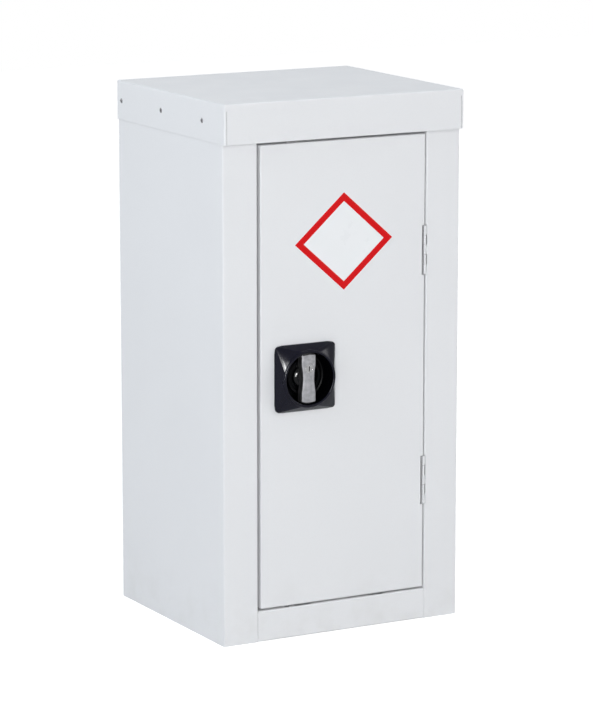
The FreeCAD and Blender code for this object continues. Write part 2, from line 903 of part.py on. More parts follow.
def handle():
    """Bar, the hub that it is screwed to, and the screw, bored for cylinder and spindle."""
    screw_z = lock_z - grip_screw_offset
    screw_front_y = hub_back_y - grip_screw_length
    head_front_y = hub_back_y - grip_screw_head_height
    hub = fuse(
        [
            rod(hub_radius, lock_x, lock_z, grip_back_y, hub_back_y),
            rod(journal_radius, lock_x, lock_z, hub_back_y, journal_back_y),
        ]
    )
    bore = rod(
        cylinder_radius + plug_clearance, lock_x, cylinder_z, grip_front_y - overrun, pocket_y
    )
    shank_hole = rod(
        grip_screw_radius + grip_screw_play,
        lock_x,
        screw_z,
        screw_front_y - grip_screw_play,
        hub_back_y,
    )
    head_hole = rod(
        grip_screw_head_radius + grip_screw_play,
        lock_x,
        screw_z,
        head_front_y - grip_screw_play,
        hub_back_y,
    )
    save("handle_grip", grip_bar().cut(bore).cut(shank_hole))
    hub = hub.cut(bore).cut(shank_hole).cut(head_hole)
    pocket = tongue_sweep(lock_x, cylinder_z)
    outer_half = box(
        lock_x - lock_size,
        lock_x + lock_size,
        pocket_y,
        pocket_y + pocket_depth,
        cylinder_z - tongue_width / 2 - tongue_play,
        cylinder_z + lock_size,
    )
    hub = hub.cut(pocket.common(outer_half))
    groove = rod(
        journal_radius + overrun, lock_x, lock_z, circlip_y, circlip_y + circlip_thickness
    )
    core = journal_radius - circlip_groove
    groove = groove.cut(
        rod(core, lock_x, lock_z, circlip_y, circlip_y + circlip_thickness)
    )
    hub = hub.cut(groove)
    half = spindle_width / 2 + spindle_play
    socket = box(
        lock_x - half,
        lock_x + half,
        journal_back_y - socket_depth,
        journal_back_y,
        lock_z - half,
        lock_z + half,
    )
    save("handle_hub", hub.cut(socket))

    head = rod(grip_screw_head_radius, lock_x, screw_z, head_front_y, hub_back_y)
    shank = rod(grip_screw_radius, lock_x, screw_z, screw_front_y, hub_back_y)
    slot = box(
        lock_x - grip_screw_head_radius,
        lock_x + grip_screw_head_radius,
        hub_back_y - drive_slot_depth,
        hub_back_y,
        screw_z - drive_slot_width / 2,
        screw_z + drive_slot_width / 2,
    )
    save("grip_screw", fuse([head, shank]).cut(slot))


def key_cylinder():
    """Cylinder pressed into the handle, and the plug that the key turns."""
    body = rod(cylinder_radius, lock_x, cylinder_z, grip_front_y, pocket_y)
    bore = rod(plug_radius + plug_clearance, lock_x, cylinder_z, grip_front_y, pocket_y)
    save("key_cylinder", body.cut(bore))
    tongue_y = pocket_y + tongue_play
    plug = rod(plug_radius, lock_x, cylinder_z, grip_front_y, pocket_y)
    tongue = box(
        lock_x - tongue_length,
        lock_x,
        tongue_y,
        tongue_y + tongue_thickness,
        cylinder_z - tongue_width / 2,
        cylinder_z + tongue_width / 2,
    )
    tail = rod(tongue_width / 2, lock_x, cylinder_z, pocket_y, tongue_y + tongue_thickness)
    keyway = box(
        lock_x - keyway_width / 2,
        lock_x + keyway_width / 2,
        grip_front_y,
        grip_front_y + keyway_depth,
        cylinder_z - keyway_height / 2,
        cylinder_z + keyway_height / 2,
    )
    save("cylinder_plug", fuse([plug, tongue, tail]).cut(keyway))


def spindle_circlip():
    """Open ring in the journal's groove, behind the housing."""
    ring = rod(circlip_radius, lock_x, lock_z, circlip_y, circlip_y + circlip_thickness)
    inner = journal_radius - circlip_groove
    ring = ring.cut(rod(inner, lock_x, lock_z, circlip_y, circlip_y + circlip_thickness))
    mouth = box(
        lock_x - circlip_mouth / 2,
        lock_x + circlip_mouth / 2,
        circlip_y,
        circlip_y + circlip_thickness,
        lock_z - circlip_radius,
        lock_z,
    )
    save("spindle_circlip", ring.cut(mouth))


def spindle_and_cam():
    """Square spindle, latch cam, and the washer and screw that hold the cam."""
    half = spindle_width / 2
    start_y = journal_back_y - socket_depth
    spindle = box(lock_x - half, lock_x + half, start_y, cam_back_y, lock_z - half, lock_z + half)
    thread = cam_screw_radius + cam_screw_play
    thread_y = cam_back_y + washer_thickness - cam_screw_length
    spindle = spindle.cut(rod(thread, lock_x, lock_z, thread_y, cam_back_y))
    save("handle_spindle", spindle)

    tip_z = lock_z - cam_reach + cam_width / 2
    cam = fuse(
        [
            rod(cam_width / 2, lock_x, lock_z, cam_y, cam_back_y),
            rod(cam_width / 2, lock_x, tip_z, cam_y, cam_back_y),
            box(
                lock_x - cam_width / 2, lock_x + cam_width / 2, cam_y, cam_back_y, tip_z, lock_z
            ),
        ]
    )
    hole = half + spindle_play
    cam = cam.cut(
        box(lock_x - hole, lock_x + hole, cam_y, cam_back_y, lock_z - hole, lock_z + hole)
    )
    save("latch_cam", cam)

    washer_back_y = cam_back_y + washer_thickness
    washer = rod(washer_radius, lock_x, lock_z, cam_back_y, washer_back_y)
    save("cam_washer", washer.cut(rod(thread, lock_x, lock_z, cam_back_y, washer_back_y)))

    head_back_y = washer_back_y + cam_screw_head_height
    head = rod(cam_screw_head_radius, lock_x, lock_z, washer_back_y, head_back_y)
    shank = rod(cam_screw_radius, lock_x, lock_z, thread_y, washer_back_y)
    corner = hex_socket_width / 2 / math.cos(math.pi / hex_side_count)
    turns = [2 * math.pi * i / hex_side_count for i in range(hex_side_count + 1)]
    corners = [
        V(
            lock_x + corner * math.cos(turn),
            head_back_y - hex_socket_depth,
            lock_z + corner * math.sin(turn),
        )
        for turn in turns
    ]
    socket = Part.Face(Part.makePolygon(corners)).extrude(V(0, hex_socket_depth, 0))
    save("cam_screw", fuse([head, shank]).cut(socket))


def blank_label():
    """Plain diamond label on the door, with nothing printed on it."""
    middle_x = (door_left + door_right) / 2 + label_offset
    middle_z = door_top - label_from_top
    half = label_width / 2
    rise = label_height / 2
    corners = [
        V(middle_x + half, face_y, middle_z),
        V(middle_x, face_y, middle_z + rise),
        V(middle_x - half, face_y, middle_z),
        V(middle_x, face_y, middle_z - rise),
        V(middle_x + half, face_y, middle_z),
    ]
    label = Part.Face(Part.makePolygon(corners)).extrude(V(0, -label_thickness, 0))
    save("blank_label", label)


def main():
    os.makedirs("parts", exist_ok=True)
    cabinet_sides()
    back_and_sump()
    front_rails()
    lid()
    lid_rivets()
    shelf_and_supports()
    door_panel()
    door_stiffener()
    door_buffers()
    hinges()
    lock_housing()
    lock_backplate()
    handle()
    key_cylinder()
    spindle_circlip()
    spindle_and_cam()
    blank_label()


main()
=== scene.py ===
import json
import math

import bmesh
import bpy
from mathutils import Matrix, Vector


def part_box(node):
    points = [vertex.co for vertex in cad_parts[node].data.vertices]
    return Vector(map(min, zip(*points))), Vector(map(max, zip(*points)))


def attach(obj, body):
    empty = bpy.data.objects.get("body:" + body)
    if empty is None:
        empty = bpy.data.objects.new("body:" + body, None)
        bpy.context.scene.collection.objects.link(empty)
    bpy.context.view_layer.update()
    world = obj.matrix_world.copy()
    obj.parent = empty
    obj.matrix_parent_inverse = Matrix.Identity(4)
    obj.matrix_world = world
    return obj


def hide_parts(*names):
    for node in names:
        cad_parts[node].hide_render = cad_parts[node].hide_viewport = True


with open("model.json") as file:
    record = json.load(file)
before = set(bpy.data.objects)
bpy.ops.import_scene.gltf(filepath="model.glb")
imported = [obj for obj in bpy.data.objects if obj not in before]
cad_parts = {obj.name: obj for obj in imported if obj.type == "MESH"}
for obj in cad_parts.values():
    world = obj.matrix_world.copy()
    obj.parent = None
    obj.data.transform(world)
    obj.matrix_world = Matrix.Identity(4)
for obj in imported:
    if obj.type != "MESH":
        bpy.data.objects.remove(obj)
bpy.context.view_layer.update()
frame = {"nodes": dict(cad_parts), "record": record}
nodes = frame["nodes"]

# The look of a small white steel cabinet with a black recessed turn handle.
# Metres, +Z up, in the CAD's own frame: the door faces -Y.
MM = 0.001

# Camera: the photograph's viewpoint, with angles in degrees and the lens in millimetres
CAMERA_PLACE = (-2.25874, -4.13926, 1.26997)
CAMERA_YAW = 28.7241
CAMERA_PITCH = 11.0720
CAMERA_LENS = 181.483

# Studio: what lights the object, and the white that the camera sees behind it
AMBIENT_COLOUR = (0.93, 0.96, 1.0)
AMBIENT_STRENGTH = 0.41
FLOOR_SIZE = 12.0
FLOOR_COLOUR = (0.60, 0.60, 0.60)
FLOOR_LIFT = 0.78
FLOOR_ROUGHNESS = 0.9
FLOOR_SPECULAR = 0.1
LAMPS = {
    "key_softbox": {"place": (-1.59, -2.19, 0.68), "width": 0.3, "height": 1.0, "power": 13.0},
    "fill_softbox": {"place": (-2.00, -5.80, 1.55), "width": 2.2, "height": 1.4, "power": 50.0},
    "front_softbox": {"place": (1.3, -3.4, 2.4), "width": 1.0, "height": 0.8, "power": 14.0},
    "left_softbox": {"place": (-2.9, -0.4, 2.2), "width": 1.3, "height": 1.3, "power": 33.0},
    "right_softbox": {"place": (3.3, -2.4, 1.5), "width": 1.4, "height": 1.4, "power": 36.0},
    "rear_softbox": {"place": (-2.4, 3.2, 1.2), "width": 1.8, "height": 1.4, "power": 16.0},
    "top_softbox": {"place": (0.2, 0.3, 3.0), "width": 1.2, "height": 1.2, "power": 9.5},
}
LAMP_COLOURS = {"left_softbox": (0.86, 0.93, 1.0), "top_softbox": (0.86, 0.93, 1.0)}
LAMP_AIM = (0.0, 0.0, 0.36)

# Lamps that only gloss shows. They make the highlights on the black housing and the boss behind the bar,
# and leave the white sheet as it is.
GLOSS_LAMPS = {
    "gloss_low": {"place": (-1.369, -2.404, 0.394), "width": 0.2, "height": 0.5, "power": 30.0},
    "gloss_high": {"place": (-1.186, -2.443, 0.866), "width": 0.2, "height": 0.5, "power": 30.0},
    "gloss_wide": {"place": (-1.223, -2.447, 0.755), "width": 0.68, "height": 0.35, "power": 34.0},
    "gloss_right": {"place": (-0.62, -2.66, 1.02), "width": 0.45, "height": 0.4, "power": 10.0},
}

# Colours, linear
WHITE_ENAMEL = (0.800, 0.804, 0.815)
DUST_TONE = (0.66, 0.655, 0.64)
# Painted shade: the grey that is put into the enamel's corners and creases
PAINTED_SHADE_TONE = (0.24, 0.24, 0.25)
BLACK_PLASTIC = (0.0012, 0.0012, 0.0080)
BLACK_RUBBED = (0.008, 0.008, 0.011)
# Painted shade: darker copies of the black moulding, for inside the bowl and the boss there
BLACK_INSIDE_PAINTED_SHADE = (0.0008, 0.0008, 0.0014)
BLACK_INSIDE_RUBBED_PAINTED_SHADE = (0.002, 0.002, 0.003)
CAST_ZINC = (0.280, 0.280, 0.293)
CAST_ZINC_DARK = (0.20, 0.20, 0.21)
CAST_ZINC_MARKS = (0.19, 0.19, 0.19)
ZINC_PLATE = (0.27, 0.275, 0.28)
ZINC_PLATE_DARK = (0.21, 0.215, 0.225)
ZINC_PLATE_WARM = (0.27, 0.26, 0.22)
RIVET_GREY = (0.26, 0.26, 0.27)
RIVET_DARK = (0.20, 0.20, 0.21)
NICKEL = (0.31, 0.31, 0.315)
NICKEL_DARK = (0.24, 0.24, 0.24)
RUBBER = (0.022, 0.022, 0.023)
RUBBER_PALE = (0.035, 0.034, 0.033)
LABEL_WHITE = (0.86, 0.87, 0.88)
LABEL_RED = (0.68, 0.006, 0.008)

# Enamel: dust gathers up to this height, and on some nodes shade is painted grey into the corners up to this
# reach
DUST_HEIGHT = 90.0 * MM
PAINTED_SHADE_REACH = 4.0 * MM
PAINTED_SHADE_SHUT = 0.35
PAINTED_SHADE_OPEN = 0.95
PAINTED_SHADE_SAMPLES = 8
PAINTED_SHADE_NODES = ("lid", "hinge_door_leaf_lower", "hinge_door_leaf_upper")

# Shaders: the part of a noise that roughness follows, rays of the softened edges, sockets of the Mix node
NOISE_LOW = 0.3
NOISE_HIGH = 0.7
BEVEL_SAMPLES = 6
MIX_FACTOR, MIX_FIRST, MIX_SECOND, MIX_RESULT = 0, 6, 7, 2

# Meshes: edges that fold by less than the angle in degrees are smooth, and nearer points are merged.
# A small rounding has one ring in its middle, which lies this share of its size in from the corner.
SHARP_ANGLE = 30.0
MERGE_DISTANCE = 0.002 * MM
SHORTEST_EDGE = 0.001 * MM
ROUND_SHARE = 0.3

# Label: a plain red band a little inside the sticker's edge, on the faces whose normal has this Y or less
LABEL_MARGIN = 0.8 * MM
LABEL_BAND = 8.6 * MM
LABEL_CORNER = 0.5 * MM
LABEL_CORNER_STEPS = 8
LABEL_EDGE = 0.06 * MM
FRONT_NORMAL = -0.9

# Lock housing: four flats and four corner fans rise from the square edge to a rounded rim
LOCK_CORNER = 8.0 * MM
LOCK_EDGE = 2.5 * MM
LOCK_EDGE_ROUND = 0.5 * MM
LOCK_EDGE_SHARE = 0.35
LOCK_SHARP_ANGLE = 21.0
CREASE_ANGLE = 18.0
FLAT_STEPS = 6
FAN_STEPS = 16
RIM_RADIUS = 38.3 * MM
RIM_DROP = 2.3 * MM
RIM_ROUND = 1.8 * MM
LIP_RADIUS = 34.6 * MM
LIP_ROUND = 1.0 * MM
BEAD_SHARES = (0, 0.2, 0.4, 0.6, 0.8, 1)
BOWL_DEPTH = 24.5 * MM
BOWL_BACK_RADIUS = 32.5 * MM
BOWL_FILLET = 2.0 * MM
COLLAR_RADIUS = 24.0 * MM
COLLAR_BORE = 20.4 * MM
COLLAR_HEIGHT = 7.5 * MM
COLLAR_ROUND = 0.5 * MM
NOTCH_DROP = 1.3 * MM
NOTCH_DEPTH = 3.2 * MM
NOTCH_CLEAR = 0.01 * MM
TONGUE_OFFSET = 13.0 * MM
TONGUE_REACH = 9.9 * MM
SPIGOT_RADIUS = 34.0 * MM
SPIGOT_ROUND = 0.6 * MM
JOURNAL_BORE = 8.05 * MM

# Handle hub: a round boss behind the bar, on a thin disc
HUB_RADIUS = 20.0 * MM
HUB_BOSS_RADIUS = 16.0 * MM
HUB_BOSS_HEIGHT = 5.0 * MM
HUB_FACE_RADIUS = 12.0 * MM
HUB_CHAMFER_DEPTH = 2.3 * MM
HUB_EDGE = 0.4 * MM
HUB_FACE_SHARE = 0.25
HUB_SIDE_SHARE = 0.2
HUB_CAP_RADIUS = 0.02 * MM
HUB_DISC_ROUND = 0.6 * MM
HUB_STEPS = 96
HUB_DEPTH = 9.7 * MM
JOURNAL_RADIUS = 8.0 * MM

# Handle bar, as the CAD has it, with softer edges
GRIP_WIDTH = 20.6 * MM
GRIP_WAIST = 16.8 * MM
GRIP_WAIST_LENGTH = 36.0 * MM
GRIP_BLEND_CUT = 1.5 * MM
GRIP_CORNER_CUT = 1.7 * MM
GRIP_BEVEL = 1.4 * MM
GRIP_EDGE = 0.25 * MM
GRIP_FACE_SHARE = 0.15
GRIP_STEPS = 10
CYLINDER_HOLE = 6.05 * MM
CYLINDER_STEPS = 64


class Surface:
    """One procedural material, built up from a Principled shader."""

    def __init__(self, name, colour, roughness, metallic=0.0, specular=0.5):
        self.material = bpy.data.materials.new(name)
        self.material.use_nodes = True
        self.tree = self.material.node_tree
        self.shader = self.tree.nodes["Principled BSDF"]
        self.colour = colour
        self.material.diffuse_color = (*colour, 1)
        self.shader.inputs["Base Color"].default_value = (*colour, 1)
        self.shader.inputs["Roughness"].default_value = roughness
        self.shader.inputs["Metallic"].default_value = metallic
        self.shader.inputs["Specular IOR Level"].default_value = specular
        self.place = self.tree.nodes.new("ShaderNodeTexCoord").outputs["Object"]
        self.normal = None

    def noise(self, per_metre, detail, stretch=(1, 1, 1)):
        """Noise with about so many features a metre, drawn out along the small axes of stretch."""
        mapping = self.tree.nodes.new("ShaderNodeMapping")
        mapping.inputs["Scale"].default_value = stretch
        texture = self.tree.nodes.new("ShaderNodeTexNoise")
        texture.inputs["Scale"].default_value = per_metre
        texture.inputs["Detail"].default_value = detail
        self.tree.links.new(self.place, mapping.inputs["Vector"])
        self.tree.links.new(mapping.outputs["Vector"], texture.inputs["Vector"])
        return texture.outputs["Fac"]

    def span(self, value, low, high, to_low=0.0, to_high=1.0):
        """Value from low to high, spread over to_low to to_high and held there."""
        node = self.tree.nodes.new("ShaderNodeMapRange")
        node.inputs["From Min"].default_value = low
        node.inputs["From Max"].default_value = high
        node.inputs["To Min"].default_value = to_low
        node.inputs["To Max"].default_value = to_high
        self.tree.links.new(value, node.inputs["Value"])
        return node.outputs["Result"]

    def axis(self, name):
        """Place along one axis of the object."""
        node = self.tree.nodes.new("ShaderNodeSeparateXYZ")
        self.tree.links.new(self.place, node.inputs["Vector"])
        return node.outputs[name]

    def times(self, first, second):
        """Product of two values."""
        node = self.tree.nodes.new("ShaderNodeMath")
        node.operation = "MULTIPLY"
        self.tree.links.new(first, node.inputs[0])
        self.tree.links.new(second, node.inputs[1])
        return node.outputs["Value"]

    def tint(self, factor, colour):
        """Turn the base colour towards another by the factor."""
        node = self.tree.nodes.new("ShaderNodeMix")
        node.data_type = "RGBA"
        base = self.shader.inputs["Base Color"]
        if base.is_linked:
            self.tree.links.new(base.links[0].from_socket, node.inputs[MIX_FIRST])
        else:
            node.inputs[MIX_FIRST].default_value = (*self.colour, 1)
        node.inputs[MIX_SECOND].default_value = (*colour, 1)
        self.tree.links.new(factor, node.inputs[MIX_FACTOR])
        self.tree.links.new(node.outputs[MIX_RESULT], base)

    def mottle(self, colour, per_metre, detail, low, high, most=1.0):
        """Turn the base colour towards another, by most at most, as a noise goes from low to high."""
        self.tint(self.span(self.noise(per_metre, detail), low, high, 0, most), colour)

    def rough(self, per_metre, detail, low, high):
        """Roughness that follows a noise, from low to high."""
        value = self.span(self.noise(per_metre, detail), NOISE_LOW, NOISE_HIGH, low, high)
        self.tree.links.new(value, self.shader.inputs["Roughness"])

    def soften(self, radius):
        """Round the look of sharp edges."""
        node = self.tree.nodes.new("ShaderNodeBevel")
        node.samples = BEVEL_SAMPLES
        node.inputs["Radius"].default_value = radius
        self.normal = node.outputs["Normal"]
        self.tree.links.new(self.normal, self.shader.inputs["Normal"])

    def painted_shade_mask(self, reach):
        """Mask of painted shade: 1 in the corner of two surfaces, 0 in the open, for what is nearer than the
        reach.
        """
        node = self.tree.nodes.new("ShaderNodeAmbientOcclusion")
        node.samples = PAINTED_SHADE_SAMPLES
        node.inputs["Distance"].default_value = reach
        return self.span(node.outputs["AO"], PAINTED_SHADE_SHUT, PAINTED_SHADE_OPEN, 1, 0)

    def bump(self, per_metre, detail, depth, strength, stretch=(1, 1, 1)):
        """Relief of a noise of that depth, on top of what is there."""
        height = self.noise(per_metre, detail, stretch)
        node = self.tree.nodes.new("ShaderNodeBump")
        node.inputs["Distance"].default_value = depth
        node.inputs["Strength"].default_value = strength
        self.tree.links.new(height, node.inputs["Height"])
        if self.normal is not None:
            self.tree.links.new(self.normal, node.inputs["Normal"])
        self.normal = node.outputs["Normal"]
        self.tree.links.new(self.normal, self.shader.inputs["Normal"])


def scaled(colour, factor):
    """A darker or lighter colour of the same hue."""
    return tuple(channel * factor for channel in colour)


def white_enamel(name, with_painted_shade):
    """Satin powder coat with fine orange peel over slightly uneven sheet, with shade painted grey into its
    corners on request.
    """
    surface = Surface(name, WHITE_ENAMEL, roughness=0.40, specular=0.2)
    surface.mottle(scaled(WHITE_ENAMEL, 0.985), per_metre=5, detail=2, low=0.35, high=0.65)
    surface.mottle(scaled(WHITE_ENAMEL, 0.965), per_metre=420, detail=2, low=0.52, high=0.75, most=0.5)
    near_floor = surface.span(surface.axis("Z"), low=0.0, high=DUST_HEIGHT, to_low=1, to_high=0)
    clouds = surface.span(surface.noise(per_metre=38, detail=6), low=0.45, high=0.75, to_high=0.35)
    surface.tint(surface.times(near_floor, clouds), DUST_TONE)
    # Painted shade: grey in the corners and creases, where shade falls
    if with_painted_shade:
        surface.tint(surface.painted_shade_mask(PAINTED_SHADE_REACH), PAINTED_SHADE_TONE)
    surface.rough(per_metre=26, detail=4, low=0.34, high=0.46)
    surface.soften(radius=0.45 * MM)
    surface.bump(per_metre=4, detail=1, depth=0.9 * MM, strength=0.35)
    surface.bump(per_metre=620, detail=2, depth=0.03 * MM, strength=0.5)
    return surface.material


def black_plastic():
    """Glossy black moulding with a little texture and fine rub marks."""
    surface = Surface("black_plastic", BLACK_PLASTIC, roughness=0.2, specular=0.14)
    surface.mottle(BLACK_RUBBED, per_metre=300, detail=3, low=0.55, high=0.8, most=0.4)
    surface.rough(per_metre=90, detail=5, low=0.12, high=0.2)
    surface.bump(per_metre=900, detail=2, depth=0.02 * MM, strength=0.5)
    surface.bump(per_metre=120, detail=5, depth=0.015 * MM, strength=0.4, stretch=(1, 1, 0.12))
    return surface.material


def black_polished_painted_shade():
    """The same moulding where fingers have polished it, painted in the bowl's darker shade."""
    surface = Surface("black_polished_painted_shade", BLACK_INSIDE_PAINTED_SHADE, roughness=0.08, specular=0.14)
    surface.mottle(BLACK_INSIDE_RUBBED_PAINTED_SHADE, per_metre=300, detail=3, low=0.5, high=0.8, most=0.5)
    surface.rough(per_metre=120, detail=4, low=0.06, high=0.11)
    surface.bump(per_metre=900, detail=2, depth=0.01 * MM, strength=0.4)
    return surface.material


def black_inside_painted_shade():
    """The same moulding inside the bowl, with a finer finish, painted darker as shade."""
    surface = Surface("black_inside_painted_shade", BLACK_INSIDE_PAINTED_SHADE, roughness=0.3, specular=0.04)
    surface.mottle(BLACK_INSIDE_RUBBED_PAINTED_SHADE, per_metre=300, detail=3, low=0.5, high=0.8, most=0.5)
    surface.rough(per_metre=90, detail=4, low=0.24, high=0.36)
    surface.bump(per_metre=900, detail=2, depth=0.02 * MM, strength=0.5)
    return surface.material


def satin_zinc():
    """Die-cast bar, satin chromed, with a fine grain and faint handling marks."""
    surface = Surface("satin_zinc", CAST_ZINC, roughness=0.36, metallic=1.0)
    surface.mottle(CAST_ZINC_DARK, per_metre=160, detail=4, low=0.35, high=0.65)
    surface.mottle(CAST_ZINC_MARKS, per_metre=30, detail=5, low=0.5, high=0.8, most=0.4)
    surface.rough(per_metre=220, detail=4, low=0.30, high=0.48)
    surface.soften(radius=0.15 * MM)
    surface.bump(per_metre=1400, detail=2, depth=0.02 * MM, strength=0.6)
    return surface.material


def zinc_plate():
    """Zinc plate, gone satin, with a soft cloudy tone."""
    surface = Surface("zinc_plate", ZINC_PLATE, roughness=0.45, metallic=1.0)
    surface.mottle(ZINC_PLATE_DARK, per_metre=60, detail=5, low=0.35, high=0.7)
    surface.mottle(ZINC_PLATE_WARM, per_metre=12, detail=3, low=0.5, high=0.75, most=0.35)
    surface.rough(per_metre=150, detail=4, low=0.38, high=0.55)
    surface.soften(radius=0.12 * MM)
    surface.bump(per_metre=500, detail=3, depth=0.015 * MM, strength=0.5, stretch=(1, 1, 0.15))
    return surface.material


def rivet_aluminium():
    """Aluminium rivet, gone dull and grey."""
    surface = Surface("rivet_aluminium", RIVET_GREY, roughness=0.45, metallic=1.0)
    surface.mottle(RIVET_DARK, per_metre=400, detail=4, low=0.4, high=0.7)
    surface.rough(per_metre=300, detail=3, low=0.38, high=0.55)
    surface.bump(per_metre=1200, detail=2, depth=0.015 * MM, strength=0.5)
    return surface.material


def nickel():
    """Nickel plated lock cylinder, with a fine grain."""
    surface = Surface("nickel", NICKEL, roughness=0.28, metallic=1.0)
    surface.mottle(NICKEL_DARK, per_metre=300, detail=4, low=0.4, high=0.7)
    surface.rough(per_metre=260, detail=4, low=0.18, high=0.34)
    surface.soften(radius=0.12 * MM)
    surface.bump(per_metre=1500, detail=2, depth=0.01 * MM, strength=0.5)
    return surface.material


def black_rubber():
    """Matt rubber with a fine grain."""
    surface = Surface("black_rubber", RUBBER, roughness=0.75, specular=0.3)
    surface.mottle(RUBBER_PALE, per_metre=240, detail=4, low=0.4, high=0.75, most=0.6)
    surface.bump(per_metre=1200, detail=3, depth=0.05 * MM, strength=0.6)
    return surface.material


def label_white():
    """White vinyl, smooth, with a trace of unevenness from the sheet under it."""
    surface = Surface("label_white", LABEL_WHITE, roughness=0.3, specular=0.25)
    surface.mottle(scaled(LABEL_WHITE, 0.985), per_metre=12, detail=1, low=0.4, high=0.7)
    surface.rough(per_metre=60, detail=3, low=0.26, high=0.36)
    surface.bump(per_metre=90, detail=2, depth=0.02 * MM, strength=0.4)
    return surface.material


def label_red():
    """Red printed band, slightly uneven as screen ink is."""
    surface = Surface("label_red", LABEL_RED, roughness=0.32, specular=0.1)
    surface.mottle(scaled(LABEL_RED, 0.86), per_metre=700, detail=3, low=0.4, high=0.75, most=0.5)
    surface.rough(per_metre=80, detail=3, low=0.28, high=0.38)
    surface.bump(per_metre=90, detail=2, depth=0.02 * MM, strength=0.4)
    return surface.material


def bridge(mesh, near, far):
    """Quads all round between two rings of the same count."""
    faces = []
    for i in range(len(near)):
        j = (i + 1) % len(near)
        faces.append(mesh.faces.new((near[i], near[j], far[j], far[i])))
    return faces


def mesh_object(name, rings, materials, capped=True, sharp_angle=SHARP_ANGLE, second_from=None):
    """Piece from rings of points, each with as many points as the last.

    The second material starts at the ring of that number.
    """
    mesh = bmesh.new()
    loops = [[mesh.verts.new(point) for point in ring] for ring in rings]
    for k, (near, far) in enumerate(zip(loops, loops[1:])):
        for face in bridge(mesh, near, far):
            face.material_index = int(second_from is not None and k >= second_from)
    if capped:
        mesh.faces.new(reversed(loops[0]))
        mesh.faces.new(loops[-1])
    return finished(name, mesh, materials, sharp_angle)


def finished(name, mesh, materials, sharp_angle=SHARP_ANGLE):
    """Object of a bmesh, its doubles merged, its normals outward and its sharp edges marked."""
    bmesh.ops.remove_doubles(mesh, verts=mesh.verts, dist=MERGE_DISTANCE)
    bmesh.ops.dissolve_degenerate(mesh, edges=mesh.edges, dist=SHORTEST_EDGE)
    bmesh.ops.recalc_face_normals(mesh, faces=mesh.faces)
    limit = math.radians(sharp_angle)
    for face in mesh.faces:
        face.smooth = True
    for edge in mesh.edges:
        edge.smooth = len(edge.link_faces) == 2 and edge.calc_face_angle(0) < limit
    data = bpy.data.meshes.new(name)
    mesh.to_mesh(data)
    mesh.free()
    for material in materials:
        data.materials.append(material)
    piece = bpy.data.objects.new(name, data)
    bpy.context.scene.collection.objects.link(piece)
    return piece


def circle_points(x, z, radius, y, steps):
    """Ring of points about a place in X and Z, at one depth."""
    points = []
    for i in range(steps):
        turn = 2 * math.pi * i / steps
        points.append((x + radius * math.cos(turn), y, z + radius * math.sin(turn)))
    return points


class Facets:
    """The housing's front in one quarter, as heights in front of the door over places from its middle.

    The right flat goes from the square's right side up to the rim, the top flat likewise, and the fan
    between them has its tip at the square's corner before it is rounded.
    """

    def __init__(self, half, top):
        self.half = half
        self.side = half - LOCK_CORNER
        self.top = top
        self.low = math.radians(CREASE_ANGLE)
        self.high = math.pi / 2 - self.low
        self.slope = (top - LOCK_EDGE) / (half - RIM_RADIUS * math.cos(self.low))

    def turns(self):
        """Angles of the rim's points in one quarter, without the last."""
        steps = [self.low * i / FLAT_STEPS for i in range(FLAT_STEPS)]
        steps += [self.low + (self.high - self.low) * i / FAN_STEPS for i in range(FAN_STEPS)]
        steps += [self.high + self.low * i / FLAT_STEPS for i in range(FLAT_STEPS)]
        return steps

    def crossing(self, turn, distance):
        """Where the fan's line to the rim at that angle meets the square moved in by a distance."""
        dx = RIM_RADIUS * math.cos(turn) - self.half
        dz = RIM_RADIUS * math.sin(turn) - self.half
        radius = LOCK_CORNER - distance
        tip = self.half - self.side
        a = dx * dx + dz * dz
        b = 2 * tip * (dx + dz)
        c = 2 * tip * tip - radius * radius
        share = (-b - math.sqrt(b * b - 4 * a * c)) / (2 * a)
        return self.half + dx * share, self.half + dz * share

    def edge_place(self, turn, distance):
        """Place on the square moved in by a distance, for the rim's point at that angle."""
        if self.low <= turn <= self.high:
            return self.crossing(turn, distance)
        if turn > self.high:
            z, x = self.edge_place(math.pi / 2 - turn, distance)
            return x, z
        x, z = self.crossing(self.low, distance)
        bend = math.atan2(z - self.side, x - self.side)
        radius = LOCK_CORNER - distance
        run = (self.side + radius * bend) * turn / self.low
        if run <= self.side:
            return self.half - distance, run
        bend = (run - self.side) / radius
        return self.side + radius * math.cos(bend), self.side + radius * math.sin(bend)

    def height(self, turn, x, z):
        """Height of the front at a place that belongs to the rim's point at that angle."""
        if turn <= self.low:
            return LOCK_EDGE + self.slope * (self.half - x)
        if turn >= self.high:
            return LOCK_EDGE + self.slope * (self.half - z)
        reach = math.hypot(self.half - RIM_RADIUS * math.cos(turn), self.half - RIM_RADIUS * math.sin(turn))
        share = math.hypot(self.half - x, self.half - z) / reach
        return LOCK_EDGE + (self.top - LOCK_EDGE) * share


def turned(x, z, quarter):
    """The place, turned about the middle by quarter turns."""
    for _ in range(quarter):
        x, z = -z, x
    return x, z


def all_round(centre, turns, place):
    """Ring of points from a function that gives X, depth and Z for an angle within a quarter."""
    points = []
    for quarter in range(4):
        for turn in turns:
            x, y, z = place(turn)
            x, z = turned(x, z, quarter)
            points.append((centre[0] + x, y, centre[1] + z))
    return points


def middle_of(low, high):
    """X and Z of the middle between two corners."""
    return ((low.x + high.x) / 2, (low.z + high.z) / 2)


